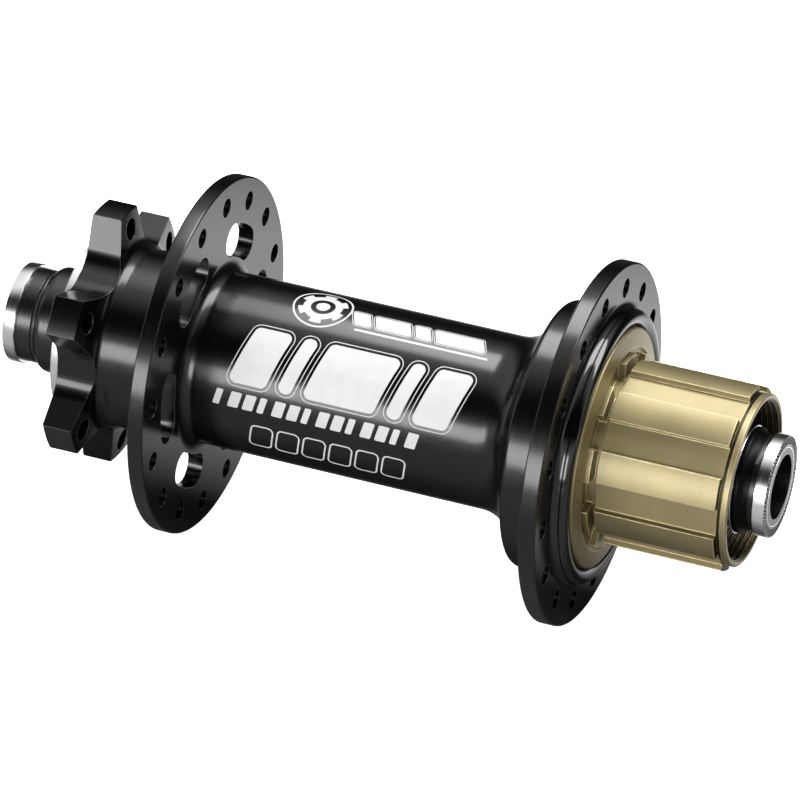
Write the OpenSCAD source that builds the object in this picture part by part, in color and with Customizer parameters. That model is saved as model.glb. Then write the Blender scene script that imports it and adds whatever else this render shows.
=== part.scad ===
/* [Axle] */
// Distance between the dropout faces
dropout_width = 150; // [135:1:157]
// Bore for the through axle
axle_bore_d = 12.1; // [12.02:0.01:12.2]
// Outside of the axle tube, the bearing bore
axle_tube_d = 15; // [14:0.5:17]
// Outside of the steel end rings
end_ring_d = 19.1; // [18:0.1:20]

/* [Shell] */
// Outside of the barrel
barrel_d = 32.7; // [28:0.1:36]
// Outside of both spoke flanges
flange_d = 68; // [50:0.5:72]
// Spoke hole circle
spoke_pcd = 59; // [44:0.5:64]
// Spoke hole diameter
spoke_hole_d = 3; // [2.4:0.1:3.2]
// Spoke holes in each flange
spoke_count = 16; // [12:2:20]
// Inner face of the disc side flange, from the middle
disc_flange_in = 35.9; // [30:0.1:38]
// Outer face of the disc side flange
disc_flange_out = 38.9; // [33:0.1:41]
// Inner face of the drive side flange
drive_flange_in = 36.9; // [30:0.1:38]
// Outer face of the drive side flange
drive_flange_out = 40.2; // [33:0.1:42]

/* [Disc mount] */
// Spigot that centres the brake disc
pilot_d = 35; // [34.9:0.05:35]
// Bolt circle of the brake disc
rotor_pcd = 44; // [44:0.1:44]
// Tapping size of the disc bolts
rotor_hole_d = 4.2; // [4.1:0.1:5.1]
// Seat of the brake disc, from the middle
rotor_face = 60; // [58:0.1:61]

/* [Freehub] */
// Outside of the cassette splines
spline_d = 34.5; // [34:0.1:34.6]
// Floor of the grooves between the splines
groove_d = 32.1; // [31:0.1:32.4]
// Width of one spline, in degrees
spline_deg = 19.7; // [16:0.1:24]
// Teeth inside the drive ring
ratchet_teeth = 36; // [24:12:60]
// Swing of a pawl from folded to engaged
pawl_swing = 16; // [10:1:18]

/* [Hidden] */
$fn = 96;
end = dropout_width / 2;
bore_r = axle_bore_d / 2;
tube_r = axle_tube_d / 2;
ring_r = end_ring_d / 2;
ring_w = 2.5;
lip_r = 7.2;
barrel_r = barrel_d / 2;
flange_r = flange_d / 2;
spoke_pitch = 360 / spoke_count;
disc_spoke_phase = 8.5;
drive_spoke_phase = 19.7;
pilot_r = pilot_d / 2;
pilot_out = rotor_face + 1.6;
bell_start = 21.3;
bell_fillet = 8.5;
bell_lip_r = 23.9;
lug_phase = 20.8;
lug_tip_r = 25.5;
window_phase = 53.4;
window_r = 22;
window_width_r = 3.2;
window_end_r = 3.3;
window_half = 10.5;
spline_r = spline_d / 2;
groove_r = groove_d / 2;
spline_count = 9;
spline_phase = 115.6;
hub_face = -70;
thread_r = 14.75;
thread_pitch = 1.05;
thread_turns = 8;
mouth_end = -61;
disc_face = -43.3;
disc_r = 22.5;
pawl_count = 4;
pawl_pivot_r = 15.9;
pawl_phase = 30;
pawl_tip = [1.9, 7];
tip_len = norm(pawl_tip);
tip_turned = atan2(pawl_tip[1], pawl_tip[0]) - pawl_swing;
tip_x = pawl_pivot_r + tip_len * cos(tip_turned);
tip_y = tip_len * sin(tip_turned);
tooth_phase = pawl_phase + atan2(tip_y, tip_x) + 2.65;
tooth_tip_r = 19.8;
tooth_root_r = 21;
drive_ring_r = 22;
wide = [7, 14, 12.4, 9.2, 10.8, 1.55, 10];
slim = [5, 12, 10.85, 8.7, 9.77, 1.05, 14];
disc_brg = 56.5;
drive_brg = -26;
inboard_brg = -38.5;
outboard_brg = -58.5;

// Everything is turned about Z, then laid down so the axle lies along Y, disc side at +Y.
module lay() {
  rotate([-90, 0, 0]) children();
}

// An angle seen about Y, measured from +X towards +Z.
module at(a) {
  rotate([0, 0, -a]) children();
}

module turned(points) {
  rotate_extrude() polygon(points);
}

// A plain ring from z0 to z1.
module ring(r_in, r_out, z0, z1) {
  translate([0, 0, z0]) difference() {
    cylinder(h = z1 - z0, r = r_out);
    translate([0, 0, -1]) cylinder(h = z1 - z0 + 2, r = r_in);
  }
}

// Flat wedge of half angle h about +X.
module wedge(h, r) {
  polygon([[0, 0], [r, -r * tan(h)], [r, r * tan(h)]]);
}

// ---- shell ----

// Outer contour with square inside corners, then each corner is rounded by its circle.
module shell_outline() {
  neck = 17;
  difference() {
    polygon([
      [0, pilot_out], [pilot_r - 0.25, pilot_out], [pilot_r, pilot_out - 0.25],
      [pilot_r, rotor_face], [lug_tip_r - 0.3, rotor_face], [lug_tip_r, rotor_face - 0.3],
      [lug_tip_r, 54.5], [lug_tip_r - 0.3, 54.2], [neck + 2.6, 53.4], [neck + 2.6, 50.8],
      [neck, 50.8], [neck, disc_flange_out + 1.5], [neck + 1.5, disc_flange_out + 1.5],
      [neck + 1.5, disc_flange_out], [flange_r - 0.35, disc_flange_out],
      [flange_r, disc_flange_out - 0.35], [flange_r, disc_flange_in + 0.35],
      [flange_r - 0.35, disc_flange_in], [barrel_r + 2.2, disc_flange_in],
      [barrel_r + 2.2, disc_flange_in - 2.2], [barrel_r, disc_flange_in - 2.2],
      [barrel_r, -bell_start], [bell_lip_r, -bell_start], [bell_lip_r, -29.75],
      [24.45, -30.05], [24.8, -30.55], [25, -31.2], [25, -drive_flange_in],
      [flange_r - 0.35, -drive_flange_in], [flange_r, -drive_flange_in - 0.35],
      [flange_r, -drive_flange_out + 0.45], [flange_r - 0.45, -drive_flange_out],
      [27.05, -drive_flange_out], [27.05, -41.7], [0, -41.7],
    ]);
    translate([neck + 2.6, 50.8]) circle(r = 2.6);
    translate([neck + 1.5, disc_flange_out + 1.5]) circle(r = 1.5);
    translate([barrel_r + 2.2, disc_flange_in - 2.2]) circle(r = 2.2);
    translate([barrel_r + bell_fillet, -bell_start]) circle(r = bell_fillet);
    translate([27.05, -41.7]) circle(r = 1.5);
  }
}

module shell_bore() {
  polygon([
    [0, 62], [14.6, 62], [14.6, 61.3], [14.3, 61], [14.3, 60], [14, 60], [14, 53], [12.5, 53],
    [12.5, 51], [13.2, 50], [13.2, -19.5], [12.5, -20.5], [12.5, -22.5], [14, -22.5],
    [14, -31], [19, -31], [19, -32], [22, -32], [22, -41.2], [22.75, -41.2], [22.75, -44], [0, -44],
  ]);
}

// Space between two neighbouring disc lugs, centred on +X: straight flanks and a round floor.
module lug_gap() {
  depth = rotor_face - 49;
  translate([0, 0, 49]) {
    linear_extrude(depth) polygon([
      [17.6, -2], [19.2, -5.1], [26.5, -12.2], [29, -12.2],
      [29, 12.2], [26.5, 12.2], [19.2, 5.1], [17.6, 2],
    ]);
    for (s = [-1, 1]) translate([23.55, s * 1.17, 0]) cylinder(h = depth, r = 6);
  }
}

// One kidney window in the disc side flange, centred on +X.
module window() {
  translate([0, 0, disc_flange_in - 3]) {
    linear_extrude(7) intersection() {
      difference() {
        circle(r = window_r + window_width_r);
        circle(r = window_r - window_width_r);
      }
      wedge(window_half, 30);
    }
    for (s = [-1, 1])
      rotate(s * window_half) translate([window_r, 0, 0]) cylinder(h = 7, r = window_end_r);
  }
}

// Spoke hole with a broken edge at both faces.
module spoke_hole(z0, z1) {
  r = spoke_hole_d / 2;
  c = 0.4;
  translate([spoke_pcd / 2, 0, 0]) {
    translate([0, 0, z0 - 1]) cylinder(h = z1 - z0 + 2, r = r, $fn = 32);
    translate([0, 0, z0 - 0.05]) cylinder(h = c + 0.05, r1 = r + c, r2 = r, $fn = 32);
    translate([0, 0, z1 - c]) cylinder(h = c + 0.05, r1 = r, r2 = r + c, $fn = 32);
  }
}

module hub_shell() {
  color("#17181a") lay() difference() {
    union() {
      rotate_extrude() shell_outline();
      rotate_extrude() translate([24.2, -41.6]) circle(r = 1.5);
    }
    rotate_extrude() shell_bore();
    for (k = [0:5]) {
      at(lug_phase + 30 + 60 * k) lug_gap();
      at(window_phase + 60 * k) window();
      at(lug_phase + 60 * k) translate([rotor_pcd / 2, 0, 50])
        cylinder(h = 12, r = rotor_hole_d / 2, $fn = 32);
    }
    for (k = [0:spoke_count - 1]) {
      at(disc_spoke_phase + spoke_pitch * k) spoke_hole(disc_flange_in, disc_flange_out);
      at(drive_spoke_phase + spoke_pitch * k) spoke_hole(-drive_flange_out, -drive_flange_in);
    }
  }
}

// ---- axle parts ----

module axle() {
  color("#8d9094") lay() ring(bore_r, tube_r, -70.5, 70.5);
}

module disc_end_cap() {
  color("#101113") lay() turned([
    [bore_r, end], [lip_r, end], [lip_r, end - ring_w], [8.9, end - ring_w], [8.9, 69.6],
    [8.3, 69.6], [8.3, 69.1], [9.1, 69.1], [9.5, 68.7], [9.85, 68], [10.05, 67.2], [10.1, 66.3],
    [10.1, 60.3], [9, 60.3], [9, 60], [tube_r, 60], [tube_r, 70.5], [bore_r, 70.5],
  ]);
}

module drive_end_cap() {
  color("#101113") lay() turned([
    [bore_r, -end], [lip_r, -end], [lip_r, ring_w - end], [8.9, ring_w - end], [8.9, -71.9],
    [9.05, -71.2], [9.4, -70.5], [9.9, -69.8], [10.1, -69.4], [10.1, -68.8], [8.9, -68.8],
    [8.9, mouth_end], [tube_r, mouth_end], [tube_r, -70.5], [bore_r, -70.5],
  ]);
}

module end_ring(z0) {
  translate([0, 0, z0]) turned([
    [lip_r, 0], [lip_r, ring_w], [ring_r - 0.15, ring_w], [ring_r, ring_w - 0.15],
    [ring_r, 0.15], [ring_r - 0.15, 0],
  ]);
}

module disc_end_ring() {
  color("#c9cccf") lay() end_ring(end - ring_w);
}

module drive_end_ring() {
  color("#c9cccf") lay() end_ring(-end);
}

module disc_cap_o_ring() {
  color("#0b0b0c") lay() ring(8.3, 8.75, 69.12, 69.58);
}

module drive_cap_washer() {
  color("#cfd1d3") lay() ring(8.9, 10.3, -68.8, -68.35);
}

module shell_spacer() {
  color("#6d7074") lay() ring(tube_r, 9, drive_brg + 3.5, disc_brg - 3.5);
}

module inboard_spacer() {
  color("#6d7074") lay() ring(tube_r, 9, inboard_brg + 2.5, drive_brg - 3.5);
}

module freehub_spacer() {
  color("#6d7074") lay() ring(tube_r, 8.6, outboard_brg + 2.5, inboard_brg - 2.5);
}

// ---- bearings: [width, outside, outer race in, inner race out, ball circle, ball, count] ----

module race_outer(b, z) {
  color("#b9bcc0") lay() translate([0, 0, z]) rotate_extrude() difference() {
    translate([b[2], -b[0] / 2]) square([b[1] - b[2], b[0]]);
    translate([b[4], 0]) circle(r = b[5] + 0.13);
  }
}

module race_inner(b, z) {
  color("#b9bcc0") lay() translate([0, 0, z]) rotate_extrude() difference() {
    translate([tube_r, -b[0] / 2]) square([b[3] - tube_r, b[0]]);
    translate([b[4], 0]) circle(r = b[5] + 0.13);
  }
}

module ball_set(b, z) {
  color("#d5d7da") lay() translate([0, 0, z]) for (k = [0:b[6] - 1])
    rotate(360 / b[6] * k) translate([b[4], 0, 0]) sphere(r = b[5], $fn = 24);
}

module ball_cage(b, z) {
  color("#4a4336") lay() translate([0, 0, z]) difference() {
    ring(b[4] - 0.45, b[4] + 0.45, -b[5] - 0.2, b[5] + 0.2);
    for (k = [0:b[6] - 1])
      rotate(360 / b[6] * k) translate([b[4], 0, 0]) rotate([0, 90, 0])
        cylinder(h = 2.2, r = b[5] + 0.08, center = true, $fn = 24);
  }
}

module seal_pair(b, z) {
  color("#151515") lay() for (s = [-1, 1])
    translate([0, 0, z + s * (b[0] / 2 - 0.35)]) ring(b[3] + 0.06, b[2], -0.25, 0.25);
}

module disc_brg_outer() { race_outer(wide, disc_brg); }
module disc_brg_inner() { race_inner(wide, disc_brg); }
module disc_brg_balls() { ball_set(wide, disc_brg); }
module disc_brg_cage() { ball_cage(wide, disc_brg); }
module disc_brg_seals() { seal_pair(wide, disc_brg); }
module drive_brg_outer() { race_outer(wide, drive_brg); }
module drive_brg_inner() { race_inner(wide, drive_brg); }
module drive_brg_balls() { ball_set(wide, drive_brg); }
module drive_brg_cage() { ball_cage(wide, drive_brg); }
module drive_brg_seals() { seal_pair(wide, drive_brg); }
module inboard_brg_outer() { race_outer(slim, inboard_brg); }
module inboard_brg_inner() { race_inner(slim, inboard_brg); }
module inboard_brg_balls() { ball_set(slim, inboard_brg); }
module inboard_brg_cage() { ball_cage(slim, inboard_brg); }
module inboard_brg_seals() { seal_pair(slim, inboard_brg); }
module outboard_brg_outer() { race_outer(slim, outboard_brg); }
module outboard_brg_inner() { race_inner(slim, outboard_brg); }
module outboard_brg_balls() { ball_set(slim, outboard_brg); }
module outboard_brg_cage() { ball_cage(slim, outboard_brg); }
module outboard_brg_seals() { seal_pair(slim, outboard_brg); }

// ---- ratchet ----

module drive_ring() {
  pitch = 360 / ratchet_teeth;
  color("#7d8085") lay() translate([0, 0, -41.2]) linear_extrude(9.2) difference() {
    circle(r = drive_ring_r);
    polygon([for (k = [0:ratchet_teeth - 1], r = [tooth_root_r, tooth_tip_r])
      r * [cos(tooth_phase + pitch * k), sin(tooth_phase + pitch * k)]]);
  }
}

module freehub_seal() {
  color("#121212") lay() ring(20.2, 22.72, -41.6, -41.2);
}

// Places a part at the pivot of pawl n, with +X pointing outwards.
module at_pawl(n) {
  rotate(pawl_phase + 360 / pawl_count * (n - 1)) translate([pawl_pivot_r, 0, 0]) children();
}

module pawl(n) {
  color("#a9acb0") lay() at_pawl(n) translate([0, 0, -40.3]) linear_extrude(6) {
    circle(r = 1.6, $fn = 48);
    polygon([[1.6, 0], pawl_tip, [0.316, 5.951], [-1.25, 1], [-1.6, 0]]);
  }
}

module pawl_1() { pawl(1); }
module pawl_2() { pawl(2); }
module pawl_3() { pawl(3); }
module pawl_4() { pawl(4); }

module pawl_springs() {
  color("#c3c5c8") lay() for (n = [1:pawl_count])
    at_pawl(n) translate([-0.75, 3.6, -37.3]) rotate([0, -90, 0]) for (k = [0:3])
      translate([0, 0, 0.05 + 0.4 * k]) ring(0.5, 0.85, 0, 0.3);
}

module pawl_pocket() {
  translate([0, 0, -40.5]) linear_extrude(6.4) {
    circle(r = 1.7, $fn = 48);
    polygon([[1.7, -0.1], [4.5, 0], [4.5, 7.6], [1.9, 7.6], [0.1, 6.25], [-1.5, 1], [-1.7, 0]]);
  }
  translate([-2.6, 3.6, -37.3]) rotate([0, 90, 0]) cylinder(h = 3, r = 1, $fn = 32);
}

// ---- freehub ----

module freehub_core() {
  polygon(concat([
    [18, -33.3], [18.3, -33.6], [18.3, -41.7], [disc_r - 0.2, -41.7], [disc_r, -41.9],
    [disc_r, disc_face + 0.5], [disc_r - 0.25, disc_face + 0.3], [19.05, disc_face - 0.3],
    [19.05, disc_face + 0.3], [15.3, disc_face + 0.3], [15.3, -45.3], [spline_r, -45.3],
    [spline_r, -68.6], [15.9, -68.6], [15.9, hub_face + 0.2], [15.7, hub_face],
    [thread_r + 0.3, hub_face]],
    [for (k = [0:thread_turns - 1], t = [[0.5, 0.1], [0, 0.5], [0, 0.65]])
      [thread_r + t[0], hub_face + thread_pitch * k + t[1]]],
    [[12.15, mouth_end - 1.4], [12.15, mouth_end - 0.8], [12.7, mouth_end - 0.8],
     [12.7, mouth_end], [12, mouth_end], [12, -56], [11.2, -56],
     [11.2, -41], [12, -41], [12, -35.3], [12.5, -34.8], [15.2, -33.3]]));
}

// A sector of a ring, centred on +X.
module sector(r_in, r_out, deg, z0, z1) {
  translate([0, 0, z0]) linear_extrude(z1 - z0) intersection() {
    difference() {
      circle(r = r_out);
      circle(r = r_in);
    }
    wedge(deg / 2, r_out + 3);
  }
}

// One groove between two splines, with a flat floor, centred on +X.
module groove() {
  half = 180 / spline_count - spline_deg / 2;
  translate([0, 0, -69]) linear_extrude(24.4) polygon([
    [groove_r, -groove_r * tan(half)], [19, -19 * tan(half)],
    [19, 19 * tan(half)], [groove_r, groove_r * tan(half)]]);
}

module freehub_body() {
  color("#b7a377") lay() difference() {
    union() {
      rotate_extrude() freehub_core();
      for (k = [0:spline_count - 1]) at(spline_phase + 360 / spline_count * k)
        sector(14.9, 18.2, spline_deg, -44.4, disc_face + 0.35);
    }
    for (k = [0:spline_count - 1]) at(spline_phase + 360 / spline_count * (k + 0.5)) groove();
    for (n = [1:pawl_count]) at_pawl(n) pawl_pocket();
  }
}

module freehub_circlip() {
  color("#232324") lay() translate([0, 0, mouth_end - 0.75]) linear_extrude(0.7) difference() {
    circle(r = 12.6);
    circle(r = 11.3);
    rotate(-90) wedge(14, 15);
  }
}

hub_shell();
axle();
disc_end_cap();
drive_end_cap();
disc_end_ring();
drive_end_ring();
disc_cap_o_ring();
drive_cap_washer();
shell_spacer();
inboard_spacer();
freehub_spacer();
disc_brg_outer();
disc_brg_inner();
disc_brg_balls();
disc_brg_cage();
disc_brg_seals();
drive_brg_outer();
drive_brg_inner();
drive_brg_balls();
drive_brg_cage();
drive_brg_seals();
inboard_brg_outer();
inboard_brg_inner();
inboard_brg_balls();
inboard_brg_cage();
inboard_brg_seals();
outboard_brg_outer();
outboard_brg_inner();
outboard_brg_balls();
outboard_brg_cage();
outboard_brg_seals();
drive_ring();
freehub_seal();
freehub_body();
freehub_circlip();
pawl_springs();
pawl_1();
pawl_2();
pawl_3();
pawl_4();
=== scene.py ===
import math

import bmesh
import bpy
from mathutils import Matrix, Vector


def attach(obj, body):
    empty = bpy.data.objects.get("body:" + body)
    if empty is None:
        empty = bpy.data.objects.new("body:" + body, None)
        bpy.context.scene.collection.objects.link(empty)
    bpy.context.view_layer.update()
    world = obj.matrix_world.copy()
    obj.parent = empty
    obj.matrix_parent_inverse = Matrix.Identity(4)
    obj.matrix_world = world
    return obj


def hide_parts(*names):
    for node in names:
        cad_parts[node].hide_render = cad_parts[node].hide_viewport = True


# Lengths are written in millimetres and turned into metres by MM.
# The axle lies along Y, disc side at +Y. Angles are seen about Y, from +X towards +Z.
MM = 0.001
SHARP = 32          # edges steeper than this, in degrees, stay sharp
TURNING_PITCH = 0.35

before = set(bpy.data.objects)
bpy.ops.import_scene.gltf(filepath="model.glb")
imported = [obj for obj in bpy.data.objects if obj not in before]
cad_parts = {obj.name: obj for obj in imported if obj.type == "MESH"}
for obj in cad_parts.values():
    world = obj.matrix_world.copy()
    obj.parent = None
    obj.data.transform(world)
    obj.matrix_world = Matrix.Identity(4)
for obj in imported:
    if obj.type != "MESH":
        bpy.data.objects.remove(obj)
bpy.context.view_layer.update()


def place(r, deg, y):
    a = math.radians(deg)
    return Vector((r * math.cos(a), y, r * math.sin(a))) * MM


def arc(r, y, radius, a0, a1, steps=10):
    """Points of an arc in the (r, y) plane, from angle a0 to a1 in degrees."""
    out = []
    for i in range(steps + 1):
        a = math.radians(a0 + (a1 - a0) * i / steps)
        out.append((r + radius * math.cos(a), y + radius * math.sin(a)))
    return out


# ---- mesh makers ----

def new_object(name, bm, sharp=SHARP):
    bmesh.ops.recalc_face_normals(bm, faces=bm.faces[:])
    for f in bm.faces:
        f.smooth = True
    mesh = bpy.data.meshes.new(name)
    bm.to_mesh(mesh)
    bm.free()
    mesh.set_sharp_from_angle(angle=math.radians(sharp))
    ob = bpy.data.objects.new(name, mesh)
    bpy.context.scene.collection.objects.link(ob)
    return ob


def lathe(bm, profile, n=256, move=None):
    """Turns a closed loop of (r, y) points about Y. move(k, i, r, y) may shift single points."""
    rings = []
    for i in range(n):
        row = []
        for k, (r, y) in enumerate(profile):
            if move:
                r, y = move(k, i, r, y)
            row.append(bm.verts.new(place(r, 360 * i / n, y)))
        rings.append(row)
    m = len(profile)
    for i in range(n):
        a, b = rings[i], rings[(i + 1) % n]
        for k in range(m):
            bm.faces.new((a[k], a[(k + 1) % m], b[(k + 1) % m], b[k]))


def rounded(points, radii, steps=6):
    """Rounds the corners of a closed outline."""
    out = []
    n = len(points)
    for i in range(n):
        p = Vector(points[i])
        if radii[i] <= 0:
            out.append(p)
            continue
        u = (Vector(points[i - 1]) - p).normalized()
        v = (Vector(points[(i + 1) % n]) - p).normalized()
        half = u.angle(v) / 2
        centre = p + (u + v).normalized() * radii[i] / math.sin(half)
        a = p + u * radii[i] / math.tan(half) - centre
        b = p + v * radii[i] / math.tan(half) - centre
        turn = a.angle_signed(b)
        for s in range(steps + 1):
            t = -turn * s / steps
            out.append(centre + Vector((a.x * math.cos(t) - a.y * math.sin(t),
                                        a.x * math.sin(t) + a.y * math.cos(t))))
    return out


def prism(bm, outline, deg, y0, y1):
    """A prism along Y from an outline in (outwards, sideways) at the angle deg."""
    a = math.radians(deg)
    ends = []
    for y in (y0, y1):
        ends.append([bm.verts.new(Vector((x * math.cos(a) - t * math.sin(a), y,
                                          x * math.sin(a) + t * math.cos(a))) * MM)
                     for x, t in outline])
    n = len(outline)
    bm.faces.new(ends[0])
    bm.faces.new(reversed(ends[1]))
    for i in range(n):
        j = (i + 1) % n
        bm.faces.new((ends[0][j], ends[0][i], ends[1][i], ends[1][j]))


def drill(bm, x, deg, steps, sides=28):
    """A stepped round cutter along Y at radius x: steps are (radius, y)."""
    a = math.radians(deg)
    cx, cz = x * math.cos(a), x * math.sin(a)
    rows = []
    for r, y in steps:
        row = []
        for i in range(sides):
            b = 2 * math.pi * i / sides
            row.append(bm.verts.new(Vector((cx + r * math.cos(b), y, cz + r * math.sin(b))) * MM))
        rows.append(row)
    bm.faces.new(rows[0])
    bm.faces.new(reversed(rows[-1]))
    for lo, hi in zip(rows, rows[1:]):
        for i in range(sides):
            j = (i + 1) % sides
            bm.faces.new((lo[j], lo[i], hi[i], hi[j]))


def cut(ob, bm):
    """Cuts the shapes in bm out of ob and leaves a plain mesh."""
    tool = new_object(ob.name + "_cutter", bm)
    mod = ob.modifiers.new("cut", "BOOLEAN")
    mod.operation = "DIFFERENCE"
    mod.solver = "EXACT"
    mod.object = tool
    dg = bpy.context.evaluated_depsgraph_get()
    mesh = bpy.data.meshes.new_from_object(ob.evaluated_get(dg))
    ob.modifiers.clear()
    ob.data = mesh
    for p in mesh.polygons:
        p.use_smooth = True
    mesh.set_sharp_from_angle(angle=math.radians(SHARP))
    bpy.data.objects.remove(tool)


def even_shading(ob):
    """Lets the large faces decide the shading, so cut faces stay flat."""
    mod = ob.modifiers.new("even", "WEIGHTED_NORMAL")
    mod.mode = "FACE_AREA"
    mod.weight = 100
    mod.keep_sharp = True


def paint(ob, mat, wanted):
    """Gives mat to the faces where wanted(radius, y) holds, in mm."""
    ob.data.materials.append(mat)
    last = len(ob.data.materials) - 1
    for p in ob.data.polygons:
        c = p.center / MM
        if wanted(math.hypot(c.x, c.z), c.y):
            p.material_index = last


def finish_piece(ob, body, mat, slot, *nodes):
    """Gives ob its material and body, and hides the nodes it stands in for. slot is not used."""
    ob.data.materials.clear()
    ob.data.materials.append(mat)
    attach(ob, body)
    if nodes:
        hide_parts(*nodes)
    return ob


# ---- materials ----

class Nodes:
    """A material on one Principled shader, with helpers that add nodes to it."""

    def __init__(self, name):
        self.mat = bpy.data.materials.new(name)
        self.mat.use_nodes = True
        self.tree = self.mat.node_tree
        self.tree.nodes.clear()
        self.out = self.tree.nodes.new("ShaderNodeOutputMaterial")
        self.bsdf = self.tree.nodes.new("ShaderNodeBsdfPrincipled")
        self.link(self.bsdf.outputs["BSDF"], self.out.inputs["Surface"])

    def link(self, a, b):
        self.tree.links.new(a, b)

    def node(self, kind, **values):
        n = self.tree.nodes.new(kind)
        for k, v in values.items():
            if k in n.inputs:
                n.inputs[k].default_value = v
            else:
                setattr(n, k, v)
        return n

    def math(self, op, a, b):
        n = self.tree.nodes.new("ShaderNodeMath")
        n.operation = op
        for socket, v in zip(n.inputs, (a, b)):
            if isinstance(v, (int, float)):
                socket.default_value = v
            else:
                self.link(v, socket)
        return n.outputs[0]

    def span(self, value, a, b, c, d):
        """Maps a..b to c..d."""
        n = self.tree.nodes.new("ShaderNodeMapRange")
        for key, v in zip(("From Min", "From Max", "To Min", "To Max"), (a, b, c, d)):
            n.inputs[key].default_value = v
        self.link(value, n.inputs["Value"])
        return n.outputs["Result"]

    def blend(self, factor, a, b):
        n = self.tree.nodes.new("ShaderNodeMix")
        n.data_type = "RGBA"
        self.link(factor, n.inputs[0])
        for socket, v in ((n.inputs[6], a), (n.inputs[7], b)):
            if isinstance(v, tuple):
                socket.default_value = (*v, 1)
            else:
                self.link(v, socket)
        return n.outputs[2]

    def noise(self, scale, detail=3.0):
        coord = self.tree.nodes.new("ShaderNodeTexCoord")
        n = self.node("ShaderNodeTexNoise", Scale=scale, Detail=detail)
        self.link(coord.outputs["Object"], n.inputs["Vector"])
        return n.outputs["Fac"]

    def round_edges(self, radius):
        return self.node("ShaderNodeBevel", Radius=radius * MM, samples=6).outputs["Normal"]

    def edge_mask(self, radius):
        """1 on outer edges, 0 on open faces."""
        bevel = self.node("ShaderNodeBevel", Radius=radius * MM, samples=6)
        geo = self.tree.nodes.new("ShaderNodeNewGeometry")
        dot = self.node("ShaderNodeVectorMath", operation="DOT_PRODUCT")
        self.link(bevel.outputs["Normal"], dot.inputs[0])
        self.link(geo.outputs["Normal"], dot.inputs[1])
        return self.span(dot.outputs["Value"], 0.995, 0.86, 0.0, 1.0)

    def lathe_lines(self, pitch):
        """Fine turning marks: rings about Y that also run across flat faces."""
        coord = self.tree.nodes.new("ShaderNodeTexCoord")
        parts = self.tree.nodes.new("ShaderNodeSeparateXYZ")
        self.link(coord.outputs["Object"], parts.inputs[0])
        square = self.math("ADD", self.math("MULTIPLY", parts.outputs["X"], parts.outputs["X"]),
                           self.math("MULTIPLY", parts.outputs["Z"], parts.outputs["Z"]))
        walk = self.math("ADD", self.math("SQRT", square, 0.5), parts.outputs["Y"])
        join = self.tree.nodes.new("ShaderNodeCombineXYZ")
        self.link(walk, join.inputs[0])
        n = self.node("ShaderNodeTexNoise", Scale=1 / (pitch * MM), Detail=2.0)
        self.link(join.outputs[0], n.inputs["Vector"])
        return n.outputs["Fac"]

    def bump(self, height, strength, distance, normal):
        b = self.node("ShaderNodeBump", Strength=strength, Distance=distance * MM)
        self.link(height, b.inputs["Height"])
        self.link(normal, b.inputs["Normal"])
        return b.outputs["Normal"]


def metal(name, dark, light, rough, edge_wear_and_highlight=None, metallic=1.0, ior=1.5, bevel=0.16,
          blotch=120.0, grit=0.05, coat=0.0):
    """A turned surface: turning marks, a blotchy tone from dark to light, and edges lightened
    partly as wear and partly as a painted highlight.
    """
    m = Nodes(name)
    tone = m.span(m.noise(blotch, 4.0), 0.3, 0.7, 0.0, 1.0)
    colour = m.blend(tone, dark, light)
    # Lighter edges: partly wear, partly a painted highlight along the edges.
    if edge_wear_and_highlight:
        wear_and_highlight_mottle = m.span(m.noise(900.0), 0.3, 0.6, 0.5, 1.0)
        colour = m.blend(m.math("MULTIPLY", m.edge_mask(bevel * 1.4), wear_and_highlight_mottle), colour, edge_wear_and_highlight)
    m.link(colour, m.bsdf.inputs["Base Color"])
    lines = m.lathe_lines(TURNING_PITCH)
    haze = m.span(m.noise(2500.0), 0.3, 0.7, -0.02, 0.02)
    m.link(m.math("ADD", m.span(lines, 0.3, 0.7, *rough), haze), m.bsdf.inputs["Roughness"])
    m.bsdf.inputs["Metallic"].default_value = metallic
    m.bsdf.inputs["IOR"].default_value = ior
    m.bsdf.inputs["Coat Weight"].default_value = coat
    m.bsdf.inputs["Coat Roughness"].default_value = 0.3
    m.link(m.bump(lines, grit, 0.02, m.round_edges(bevel)), m.bsdf.inputs["Normal"])
    return m.mat


# Each edge colour below lightens the edges: partly wear, partly a painted highlight.
black = metal("black_anodised", (0.0006, 0.0006, 0.0007), (0.0013, 0.0013, 0.0014), (0.17, 0.23),
              edge_wear_and_highlight=(0.07, 0.07, 0.073), metallic=0.0, ior=1.52)
gloss_black = metal("gloss_black", (0.0006, 0.0006, 0.0006), (0.0013, 0.0013, 0.0013), (0.08, 0.12),
                    edge_wear_and_highlight=(0.02, 0.02, 0.021), metallic=0.0, ior=1.6)
gold = metal("gold_anodised", (0.26, 0.215, 0.108), (0.31, 0.26, 0.135), (0.49, 0.56),
             edge_wear_and_highlight=(0.95, 0.84, 0.52), bevel=0.2, grit=0.012, coat=0.5)
# Dark gold: painted shade for the threads inside the mouth and the slits at the spline ends.
painted_shade_gold = metal("thread_painted_shade", (0.035, 0.028, 0.014), (0.06, 0.05, 0.026), (0.35, 0.45),
                  edge_wear_and_highlight=(0.5, 0.43, 0.25), bevel=0.12, grit=0.02)
plated = metal("bright_plating", (0.86, 0.87, 0.88), (0.92, 0.92, 0.93), (0.15, 0.21),
               edge_wear_and_highlight=(0.95, 0.95, 0.95), bevel=0.1)
knurled = metal("knurled_steel", (0.84, 0.85, 0.86), (0.93, 0.93, 0.94), (0.40, 0.50),
                edge_wear_and_highlight=(0.95, 0.95, 0.95), bevel=0.06)
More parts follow.
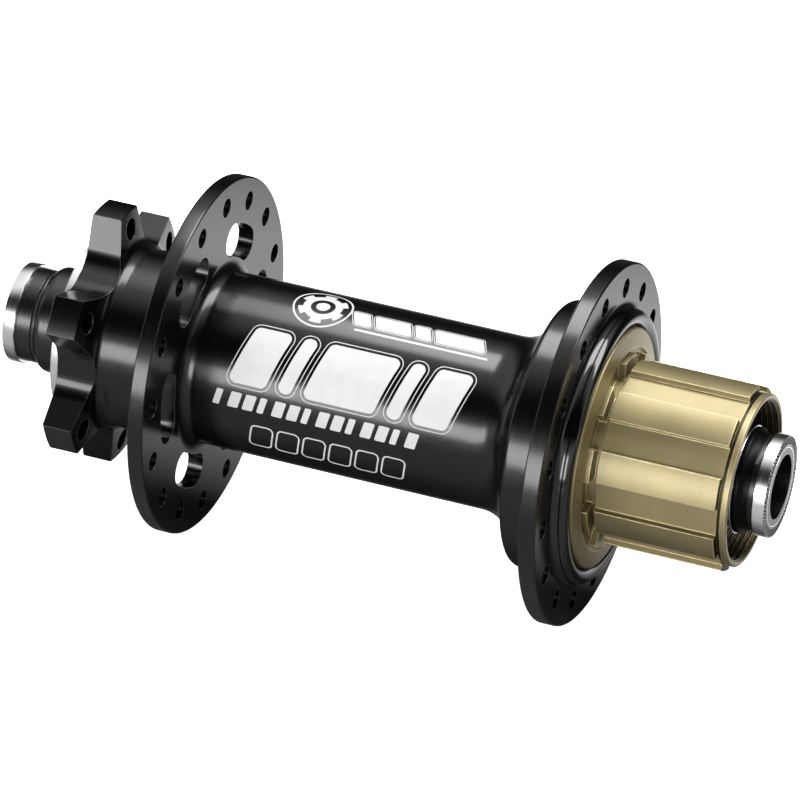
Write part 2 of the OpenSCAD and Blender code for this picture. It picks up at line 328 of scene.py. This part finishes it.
# Near-black steel: painted shade in the knurl pits and the groove by the lip.
knurl_pit_painted_shade = metal("knurl_pits_painted_shade", (0.03, 0.03, 0.03), (0.07, 0.07, 0.07), (0.3, 0.4), bevel=0.03)
spigot = metal("bright_turned", (0.82, 0.83, 0.84), (0.92, 0.92, 0.93), (0.16, 0.22),
               edge_wear_and_highlight=(0.96, 0.96, 0.96), bevel=0.1)
alloy = metal("plain_alloy", (0.50, 0.51, 0.52), (0.62, 0.63, 0.64), (0.28, 0.38),
              edge_wear_and_highlight=(0.8, 0.8, 0.8))
ground = metal("bearing_steel", (0.55, 0.56, 0.58), (0.68, 0.69, 0.70), (0.12, 0.2),
               edge_wear_and_highlight=(0.85, 0.85, 0.86))
brass = metal("cage_brass", (0.55, 0.40, 0.16), (0.66, 0.50, 0.22), (0.25, 0.35),
              edge_wear_and_highlight=(0.85, 0.7, 0.4))
tooth_steel = metal("ratchet_steel", (0.28, 0.29, 0.30), (0.38, 0.39, 0.40), (0.25, 0.35),
                    edge_wear_and_highlight=(0.6, 0.6, 0.6))
spring = metal("spring_steel", (0.16, 0.16, 0.17), (0.24, 0.24, 0.25), (0.3, 0.4),
               edge_wear_and_highlight=(0.5, 0.5, 0.5))
rubber = metal("black_rubber", (0.010, 0.010, 0.010), (0.018, 0.018, 0.018), (0.55, 0.7),
               metallic=0.0, grit=0.2)
ink = metal("print_ink", (0.52, 0.53, 0.53), (0.56, 0.57, 0.56), (0.42, 0.52), metallic=0.0,
            blotch=400.0, grit=0.1, bevel=0.01)
# A dimmer, less shiny black: painted shade for the spoke hole walls and the drive cap's flare.
painted_shade_black = metal("painted_shade_black", (0.0005, 0.0005, 0.0005), (0.001, 0.001, 0.001), (0.3, 0.38),
                   metallic=0.0, ior=1.2, grit=0.1)
cap_black = metal("cap_black", (0.0006, 0.0006, 0.0006), (0.0014, 0.0014, 0.0014), (0.24, 0.30),
                  edge_wear_and_highlight=(0.03, 0.03, 0.031), metallic=0.0, ior=1.6)

# ---- shell ----

# Angles of the first lug, flange cut-out and spoke hole of each flange.
LUG, WINDOW, DISC_SPOKE, DRIVE_SPOKE = 20.8, 53.4, 8.5, 19.7
LUGS, SPOKES = 6, 16
PILOT_R = 17.5
BOLT_CIRCLE_R, SPOKE_CIRCLE_R = 22, 29.5
WINDOW_R, WINDOW_END_R, WINDOW_HALF = 22, 3.2, 10.5

outline = (
    [(14.6, 61.6), (PILOT_R - 0.25, 61.6), (PILOT_R, 61.35), (PILOT_R, 60.0)]
    + arc(25.2, 59.7, 0.3, 90, 0, 4) + arc(25.2, 54.5, 0.3, 0, -90, 4)
    + arc(19.6, 50.8, 2.6, 90, 180, 12)
    + arc(20.0, 41.9, 3.0, 180, 270, 12)
    + arc(33.65, 38.55, 0.35, 90, 0, 4) + arc(33.65, 36.25, 0.35, 0, -90, 4)
    + arc(18.65, 33.6, 2.3, 90, 180, 12)
    + [(16.35, y) for y in (28, 20, 10, 0, -10, -17)]
    + arc(24.85, -21.3, 8.5, 180, 263.6, 24)
    + arc(23.85, -30.9, 1.15, 88, 0, 6)
    + [(25.0, -36.4)] + arc(25.5, -36.4, 0.5, 180, 270, 4)
    + arc(33.6, -37.3, 0.4, 90, 0, 4) + arc(33.55, -39.75, 0.45, 0, -90, 4)
    + arc(27.05, -41.7, 1.5, 90, 172, 10)
    + arc(24.2, -41.6, 1.5, -8, -165, 20)
    + [(22.75, -41.2), (22.0, -41.2), (22.0, -32.0), (19.0, -32.0), (19.0, -31.0), (14.0, -31.0),
       (14.0, -22.5), (12.5, -22.5), (12.5, -20.5), (13.2, -19.5), (13.2, 50.0), (12.5, 51.0),
       (12.5, 53.0), (14.0, 53.0), (14.0, 60.0), (14.3, 60.3), (14.3, 61.0), (14.6, 61.3)]
)

bm = bmesh.new()
lathe(bm, outline, 288)
shell = new_object("shell_turned", bm)

bm = bmesh.new()
gap = rounded([(17.55, -3.59), (26.2, -11.9), (29, -12.4), (29, 12.4), (26.2, 11.9), (17.55, 3.59)],
              [6, 0, 0, 0, 0, 6], 8)
end_x = WINDOW_R * math.cos(math.radians(WINDOW_HALF))
end_t = WINDOW_R * math.sin(math.radians(WINDOW_HALF))
kidney = (arc(0, 0, WINDOW_R + WINDOW_END_R, -WINDOW_HALF, WINDOW_HALF)
          + arc(end_x, end_t, WINDOW_END_R, WINDOW_HALF + 15, WINDOW_HALF + 165)
          + arc(0, 0, WINDOW_R - WINDOW_END_R, WINDOW_HALF, -WINDOW_HALF)
          + arc(end_x, -end_t, WINDOW_END_R, -WINDOW_HALF - 165, -WINDOW_HALF - 15))


def spoke_hole(bm, deg, y, half):
    """A spoke hole through a flange, eased at both faces, from y - half to y + half."""
    eased = ((2.05, half), (1.8, half - 0.35), (1.8, half - 1.1), (1.55, half - 1.5))
    lower = [(r, y - t) for r, t in eased]
    upper = [(r, y + t) for r, t in reversed(eased)]
    drill(bm, SPOKE_CIRCLE_R, deg, lower + upper)


for k in range(LUGS):
    turn = 360 / LUGS * k
    prism(bm, gap, LUG + 30 + turn, 49.0, 60.0)
    prism(bm, kidney, WINDOW + turn, 34.9, 39.9)
    drill(bm, BOLT_CIRCLE_R, LUG + turn, [(2.1, 50), (2.1, 59.6), (2.7, 60.2), (2.7, 61)])
for k in range(SPOKES):
    turn = 360 / SPOKES * k
    spoke_hole(bm, DISC_SPOKE + turn, 37.4, 1.8)
    spoke_hole(bm, DRIVE_SPOKE + turn, -38.55, 1.95)
cut(shell, bm)
finish_piece(shell, "shell", black, "black_anodised", "hub_shell")
paint(shell, gloss_black, lambda r, y: r > 22.7 and y < -40.25)
# Painted shade: the walls of the spoke holes get the dimmer black.
paint(shell, painted_shade_black,
      lambda r, y: 27.3 < r < 31.7 and (35.95 < y < 38.85 or -40.15 < y < -36.95))
even_shading(shell)

# The spigot for the disc is turned bright after anodising.
bm = bmesh.new()
lathe(bm, [(14.62, 61.3), (14.85, 61.6), (PILOT_R - 0.2, 61.6), (PILOT_R + 0.02, 61.38),
           (PILOT_R + 0.02, 60.02), (14.62, 60.02)])
finish_piece(new_object("rotor_spigot", bm), "shell", spigot, "black_anodised")

# ---- freehub ----

SPLINES, SPLINE = 9, 115.6      # number of splines and the angle of the first
GROOVE_R = 15.9
spline_turn = 360 / SPLINES

threads = []
for k in range(8):
    y = -70 + 1.05 * k
    threads += [(15.25, y + 0.1), (14.75, y + 0.5), (14.75, y + 0.62), (15.25, y + 1.0)]
core = (
    [(18, -33.3), (18.3, -33.6), (18.3, -41.7), (22.3, -41.7), (22.5, -41.9), (22.5, -42.75)]
    + arc(22.2, -42.75, 0.3, 0, -80, 4)
    + [(19.05, -43.6), (19.05, -43.0), (15.0, -43.0), (15.0, -45.3), (17.1, -45.3),
       (17.25, -45.45), (17.25, -67.95), (17.1, -68.1), (15.86, -68.1), (15.86, -68.75),
       (16.1, -68.8), (16.1, -69.75), (15.85, -70), (15.35, -70)]
    + threads
    + [(12.15, -61.55), (12.15, -61.4), (12.0, -61.2), (12.0, -56), (11.2, -56), (11.2, -41),
       (12.0, -41), (12.0, -35.3), (12.5, -34.8), (15.2, -33.3)]
)
bm = bmesh.new()
lathe(bm, core, 288)
freehub = new_object("freehub_turned", bm)
bm = bmesh.new()
flank = math.tan(math.radians(10.15))
groove = [(r, side * r * flank) for r, side in ((GROOVE_R, -1), (19, -1), (19, 1), (GROOVE_R, 1))]
for k in range(SPLINES):
    prism(bm, groove, SPLINE + 20 + spline_turn * k, -68.4, -44.6)
pocket = arc(0, 0, 1.7, -180, -20, 8)
pocket += [(1.7, -0.1), (4.5, 0), (4.5, 7.6), (1.9, 7.6), (0.1, 6.25), (-1.5, 1)]
for n in range(4):
    # Pawl pockets run the other way round when seen along the axle.
    prism(bm, [(GROOVE_R + x, -t) for x, t in reversed(pocket)], -(30 + 90 * n), -40.5, -34.1)
cut(freehub, bm)
bm = bmesh.new()
bm.from_mesh(freehub.data)
block = arc(0, 0, 14.9, -9.85, 9.85, 8) + arc(0, 0, 18.2, 9.85, -9.85, 8)
for k in range(SPLINES):
    prism(bm, block, SPLINE + spline_turn * k, -44.4, -42.9)
bpy.data.objects.remove(freehub)
freehub = new_object("freehub_turned", bm)
finish_piece(freehub, "freehub", gold, "gold_anodised", "freehub_body")
# Painted shade: the threads and the slits at the land ends get the dark gold.
paint(freehub, painted_shade_gold,
      lambda r, y: (r < 15.22 and y < -56) or (15.8 < r < 16.8 and -68.7 < y < -68.05))
even_shading(freehub)

# ---- end caps and rings ----

SMALL_TURN = 192     # steps round the smaller turned pieces
RING_WIDTH = 2.5
TEETH = 72

bm = bmesh.new()
lathe(bm, [(6.05, 75), (7.2, 75), (7.2, 72.5), (8.9, 72.5), (8.9, 69.7), (8.8, 69.6), (8.3, 69.6),
           (8.3, 69.1), (9.0, 69.1)] + arc(8.1, 67.1, 2.0, 70, 0)
      + [(10.1, 60.3), (9, 60.3), (9, 60), (7.5, 60), (7.5, 70.5), (6.05, 70.5)], SMALL_TURN)
finish_piece(new_object("disc_cap_turned", bm), "axle_group", cap_black, "black_anodised",
             "disc_end_cap")

bm = bmesh.new()
lathe(bm, [(6.05, -75), (7.2, -75), (7.2, -72.5), (8.9, -72.5), (8.9, -71.5)]
      + arc(11.3, -71.5, 2.4, 180, 130, 8)
      + [(9.85, -69.5), (9.85, -68.8), (8.9, -68.8), (8.9, -61), (7.5, -61), (7.5, -70.5),
         (6.05, -70.5)], SMALL_TURN)
drive_cap = new_object("drive_cap_turned", bm)
finish_piece(drive_cap, "axle_group", cap_black, "black_anodised", "drive_end_cap")
# Painted shade: the flare and the inside of the drive cap get the dimmer black.
paint(drive_cap, painted_shade_black, lambda r, y: y > -71.4)


def end_ring(name, face, way, node):
    """Plated ring with a knurled outer face at y = face. way is +1 or -1, towards that face."""
    bm = bmesh.new()
    back = face - way * RING_WIDTH
    rows = ((7.8, 8.0), (8.25, 8.45), (8.7, 8.9), (9.1, 9.35))
    lip = [(7.2, face - way * 0.1), (7.3, face), (7.48, face), (7.52, face - way * 0.25),
           (7.62, face - way * 0.25), (7.66, face)]
    rim = [(9.48, face - way * 0.12), (9.55, face - way * 0.3), (9.55, back + way * 0.2),
           (9.4, back), (7.2, back)]
    profile = lip + [(r, face) for row in rows for r in row] + rim

    def knurl(k, i, r, y):
        row = (k - len(lip)) // 2
        pit = 0 <= row < len(rows) and (i + 2 * (row % 2)) % 4 < 2
        return r, y - way * 0.22 if pit else y

    lathe(bm, profile, TEETH * 4, knurl)
    ob = new_object(name, bm, 24)
    finish_piece(ob, "axle_group", plated, "plated_ring", node)
    paint(ob, knurled, lambda r, y: 7.5 < r < 9.4 and abs(y - face) < 0.6)
    # Painted shade: the sunken pits and the lip groove get the near-black steel.
    paint(ob, knurl_pit_painted_shade, lambda r, y: 7.5 < r < 9.4 and 0.1 < abs(y - face) < 0.6)


end_ring("disc_ring_toothed", 75.0, 1, "disc_end_ring")
end_ring("drive_ring_toothed", -75.0, -1, "drive_end_ring")

bm = bmesh.new()
lathe(bm, [(8.9, -68.75)] + arc(9.95, -68.55, 0.2, -90, 90, 12) + [(8.9, -68.35)], SMALL_TURN)
finish_piece(new_object("drive_washer_rounded", bm), "axle_group", ground, "stainless_washer",
             "drive_cap_washer")

bm = bmesh.new()
lathe(bm, arc(8.52, 69.35, 0.23, 0, 345, 23), SMALL_TURN)
finish_piece(new_object("o_ring_round", bm), "axle_group", rubber, "black_rubber",
             "disc_cap_o_ring")

# ---- generic print on the barrel ----

PRINT_R = 16.37
DEGREE = math.radians(16.35)     # length of one degree round the barrel, in mm


def wrap(bm, outline):
    """Lays a flat outline of (angle in degrees, y) points on the barrel, in strips of 2 degrees."""
    flat = bmesh.new()
    flat.faces.new([flat.verts.new((a, y, 0)) for a, y in outline])
    lo, hi = min(a for a, _ in outline), max(a for a, _ in outline)
    a = math.ceil(lo / 2) * 2
    while a < hi:
        bmesh.ops.bisect_plane(flat, geom=flat.verts[:] + flat.edges[:] + flat.faces[:],
                               plane_co=(a, 0, 0), plane_no=(1, 0, 0))
        a += 2
    seen = {v: bm.verts.new(place(PRINT_R, v.co.x, v.co.y)) for v in flat.verts}
    for f in flat.faces:
        bm.faces.new([seen[v] for v in f.verts])
    flat.free()


def slanted(a0, a1, y0, y1, slant):
    """The corners of a slanted bar in mm: a0 to a1 round the barrel, y0 to y1 along it."""
    return [Vector((a0 * DEGREE, y0 + slant)), Vector((a0 * DEGREE, y1 + slant)),
            Vector((a1 * DEGREE, y1)), Vector((a1 * DEGREE, y0))]


def grown(points, by):
    """A closed outline with each side moved outwards by the given distance."""
    out = []
    for i, p in enumerate(points):
        u = (points[i - 1] - p).normalized()
        v = (points[(i + 1) % len(points)] - p).normalized()
        out.append(p - (u + v).normalized() * by / math.sin(u.angle(v) / 2))
    return out


def bar(bm, a0, a1, y0, y1, slant=0.0, corner=0.25):
    """A solid slanted bar with round corners."""
    outline = rounded(slanted(a0, a1, y0, y1, slant), [corner] * 4, 5)
    wrap(bm, [(p.x / DEGREE, p.y) for p in outline])


def frame_bar(bm, a0, a1, y0, y1, slant, line, gap=0.0, corner=0.25):
    """A line round a slanted bar, gap outside it. line is its width in mm."""
    box = slanted(a0, a1, y0, y1, slant)
    inner = rounded(grown(box, gap), [corner + gap] * 4, 5)
    outer = rounded(grown(box, gap + line), [corner + gap + line] * 4, 5)
    for i in range(len(inner)):
        wrap(bm, [(p.x / DEGREE, p.y) for p in (outer[i - 1], outer[i], inner[i], inner[i - 1])])


def ring_patch(bm, a, y, r0, r1, start=0, end=360):
    """A flat ring, or part of one, about (a, y); r0 and r1 in mm."""
    steps = max(2, int((end - start) / 7.5))
    bands = math.ceil((r1 - r0) / 0.5)      # narrow bands follow the barrel
    for i, b in ((i, b) for i in range(steps) for b in range(bands)):
        t0, t1 = (math.radians(start + (end - start) * (i + j) / steps) for j in (0, 1))
        s0, s1 = (r0 + (r1 - r0) * (b + j) / bands for j in (0, 1))
        bm.faces.new([bm.verts.new(place(PRINT_R, a + r * math.sin(t) / DEGREE,
                                         y + r * math.cos(t)))
                      for r, t in ((s0, t0), (s1, t0), (s1, t1), (s0, t1))])


bm = bmesh.new()
# A plain gear outline in a ring.
ring_patch(bm, 88, 14.2, 5.3, 5.65)
ring_patch(bm, 88, 14.2, 0.05, 1.3)
ring_patch(bm, 88, 14.2, 2.3, 3.7)
for k in range(6):
    ring_patch(bm, 88, 14.2, 3.7, 4.6, 60 * k + 15, 60 * k + 45)
for y0, y1 in ((6.9, 3.5), (2.6, -4.3), (-5.2, -8.2), (-9.1, -18.6)):
    bar(bm, 85.5, 98, y0, y1, 1.6, 0.5)
    frame_bar(bm, 85.5, 98, y0, y1, 1.6, 0.14, 0.2, 0.5)
bar(bm, 101.5, 103.2, 6.5, -19.5, 0, 0.1)
for y0, y1 in ((27.0, 19.6), (17.4, 14.6), (12.4, -1.6), (-3.8, -6.6), (-8.8, -15.8)):
    bar(bm, 117, 156, y0, y1, -3.2, 1.2)
    frame_bar(bm, 117, 156, y0, y1, -3.2, 0.16, 0.55, 1.2)
for k in range(14):
    y = 29.5 - 2.9 * k
    bar(bm, 162, 173, y, y - (2.1 if k % 3 else 1.3), -0.8)
for k in range(6):
    y = 22.5 - 5.2 * k
    frame_bar(bm, 184, 202, y, y - 4.0, -1.0, 0.3, 0.0, 0.8)
bmesh.ops.remove_doubles(bm, verts=bm.verts[:], dist=0.002 * MM)
printed = new_object("barrel_print", bm, 180)
for p in printed.data.polygons:
    if p.normal.x * p.center.x + p.normal.z * p.center.z < 0:
        p.flip()
film = printed.modifiers.new("film", "SOLIDIFY")
film.thickness = 0.03 * MM
film.offset = -1
printed.modifiers.new("rims", "EDGE_SPLIT").split_angle = math.radians(40)
finish_piece(printed, "shell", ink, "black_anodised")

# ---- CAD nodes that are shown as they are ----

FINISHES = (
    (rubber, ("_seals", "freehub_seal", "o_ring")),
    (brass, ("_cage",)),
    (ground, ("_outer", "_inner", "_balls")),
    (tooth_steel, ("drive_ring", "pawl_1", "pawl_2", "pawl_3", "pawl_4")),
    (spring, ("circlip", "springs")),
)
for name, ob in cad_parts.items():
    mat = alloy
    for choice, words in FINISHES:
        if any(word in name for word in words):
            mat = choice
    ob.data.materials.clear()
    ob.data.materials.append(mat)

# ---- camera ----

AZIMUTH, ELEVATION = math.radians(291.53), math.radians(36.05)
DISTANCE = 1.135
back = Vector((math.sin(AZIMUTH) * math.cos(ELEVATION), -math.cos(AZIMUTH) * math.cos(ELEVATION),
               math.sin(ELEVATION)))
right = Vector((math.cos(AZIMUTH), math.sin(AZIMUTH), 0))
up = back.cross(right)
camera = bpy.data.objects.new("camera", bpy.data.cameras.new("camera"))
bpy.context.scene.collection.objects.link(camera)
camera.data.sensor_width = 36
camera.data.lens = 277.5
camera.data.clip_start = 0.01
camera.location = back * DISTANCE + right * 0.00105 - up * 0.0005
camera.rotation_euler = Matrix((right, up, back)).transposed().to_euler()
bpy.context.scene.camera = camera

# ---- floor, lights and surroundings ----

def plain_floor(name, shade, glow):
    """A wide sheet of paper under the hub, with a slight mottle round the given shade."""
    bm = bmesh.new()
    bmesh.ops.create_grid(bm, x_segments=1, y_segments=1, size=3.0)
    ob = new_object(name, bm)
    ob.location.z = -0.0341
    m = Nodes(name + "_paper")
    mottle = m.span(m.noise(40.0), 0.3, 0.7, 0.0, 1.0)
    m.link(m.blend(mottle, (shade - 0.02,) * 3, (shade + 0.02,) * 3), m.bsdf.inputs["Base Color"])
    m.bsdf.inputs["Roughness"].default_value = 0.9
    m.bsdf.inputs["Emission Color"].default_value = (1, 1, 1, 1)
    m.bsdf.inputs["Emission Strength"].default_value = glow
    ob.data.materials.append(m.mat)
    return ob


# One sheet is what the camera sees; the other is what the metal mirrors, with painted light on it:
# a glowing band just beyond the hub, and a paint that is pale towards the camera and dark farther
# off.
floor = plain_floor("floor", 0.9, 0.85)
floor.visible_glossy = False
floor.visible_diffuse = False
mirrored = plain_floor("floor_mirrored", 0.5, 0.0)
mirrored.visible_camera = False
mirrored.location.z = -0.0343
paper = mirrored.data.materials[0].node_tree
reach = paper.nodes.new("ShaderNodeSeparateXYZ")
paper.links.new(paper.nodes.new("ShaderNodeTexCoord").outputs["Object"], reach.inputs[0])
paint_node = next(n for n in paper.nodes if n.type == "BSDF_PRINCIPLED")
spread = paper.nodes.new("ShaderNodeMapRange")
for key, v in zip(("From Min", "From Max", "To Min", "To Max"), (-0.1, 0.4, 0.0, 1.0)):
    spread.inputs[key].default_value = v
paper.links.new(reach.outputs["X"], spread.inputs["Value"])
# Painted light on the mirrored sheet: a glowing band just beyond the hub, and a paint that is pale
# towards the camera and dark beyond it.
for socket, stops in (("Emission Strength", ((0.2, 0), (0.29, 1.35), (0.37, 1.35), (0.5, 0))),
                      ("Base Color", ((0.13, 0.85), (0.19, 0.13), (0.5, 0.05), (1, 0.02)))):
    painted_light_ramp = paper.nodes.new("ShaderNodeValToRGB")
    while len(painted_light_ramp.color_ramp.elements) < 4:
        painted_light_ramp.color_ramp.elements.new(0.5)
    for element, (x, level) in zip(painted_light_ramp.color_ramp.elements, stops):
        element.position = x
        element.color = (level, level, level, 1)
    paper.links.new(spread.outputs[0], painted_light_ramp.inputs[0])
    paper.links.new(painted_light_ramp.outputs[0], paint_node.inputs[socket])


def soft_box(name, deg, y, distance, along, across, radiance):
    """A soft box facing the axle from the angle deg. along runs with the axle, across round it."""
    data = bpy.data.lights.new(name, "AREA")
    data.shape = "RECTANGLE"
    data.size = along
    data.size_y = across
    data.energy = radiance * math.pi * along * across
    ob = bpy.data.objects.new(name, data)
    bpy.context.scene.collection.objects.link(ob)
    ob.location = place(distance * 1000, deg, y * 1000)
    a = math.radians(deg)
    out = Vector((math.cos(a), 0, math.sin(a)))
    axle = Vector((0, 1, 0))
    ob.rotation_euler = Matrix((axle, out.cross(axle), out)).transposed().to_euler()


soft_box("overhead", 64, -0.35, 0.85, 1.3, 0.42, 8.5)
soft_box("front", 166, 0.2, 0.8, 1.2, 0.27, 7.5)

# The camera sees plain white; the metal sees a studio that changes with the angle about the axle.
world = bpy.data.worlds.new("studio")
bpy.context.scene.world = world
world.use_nodes = True
tree = world.node_tree
tree.nodes.clear()
coord = tree.nodes.new("ShaderNodeTexCoord")
parts = tree.nodes.new("ShaderNodeSeparateXYZ")
tree.links.new(coord.outputs["Generated"], parts.inputs[0])
turn = tree.nodes.new("ShaderNodeMath")
turn.operation = "ARCTAN2"
tree.links.new(parts.outputs["Z"], turn.inputs[0])
tree.links.new(parts.outputs["X"], turn.inputs[1])
share = tree.nodes.new("ShaderNodeMapRange")
share.inputs["From Max"].default_value = math.pi
tree.links.new(turn.outputs[0], share.inputs["Value"])
ramp = tree.nodes.new("ShaderNodeValToRGB")
stops = ((0, 0.01), (16, 0.02), (27, 0.2), (42, 0.8), (88, 0.9), (102, 0.4), (112, 0.05),
         (120, 0.005), (142, 0.005), (149, 0.5), (158, 1.0), (180, 1.0))
while len(ramp.color_ramp.elements) < len(stops):
    ramp.color_ramp.elements.new(0.5)
for element, (deg, level) in zip(ramp.color_ramp.elements, stops):
    element.position = deg / 180
    element.color = (level, level, level, 1)
tree.links.new(share.outputs[0], ramp.inputs[0])
seen = tree.nodes.new("ShaderNodeBackground")
seen.inputs["Color"].default_value = (1, 1, 1, 1)
felt = tree.nodes.new("ShaderNodeBackground")
tree.links.new(ramp.outputs[0], felt.inputs["Color"])
path = tree.nodes.new("ShaderNodeLightPath")
mix = tree.nodes.new("ShaderNodeMixShader")
tree.links.new(path.outputs["Is Camera Ray"], mix.inputs[0])
tree.links.new(felt.outputs[0], mix.inputs[1])
tree.links.new(seen.outputs[0], mix.inputs[2])
out = tree.nodes.new("ShaderNodeOutputWorld")
tree.links.new(mix.outputs[0], out.inputs[0])

bpy.context.scene.view_settings.view_transform = "Standard"
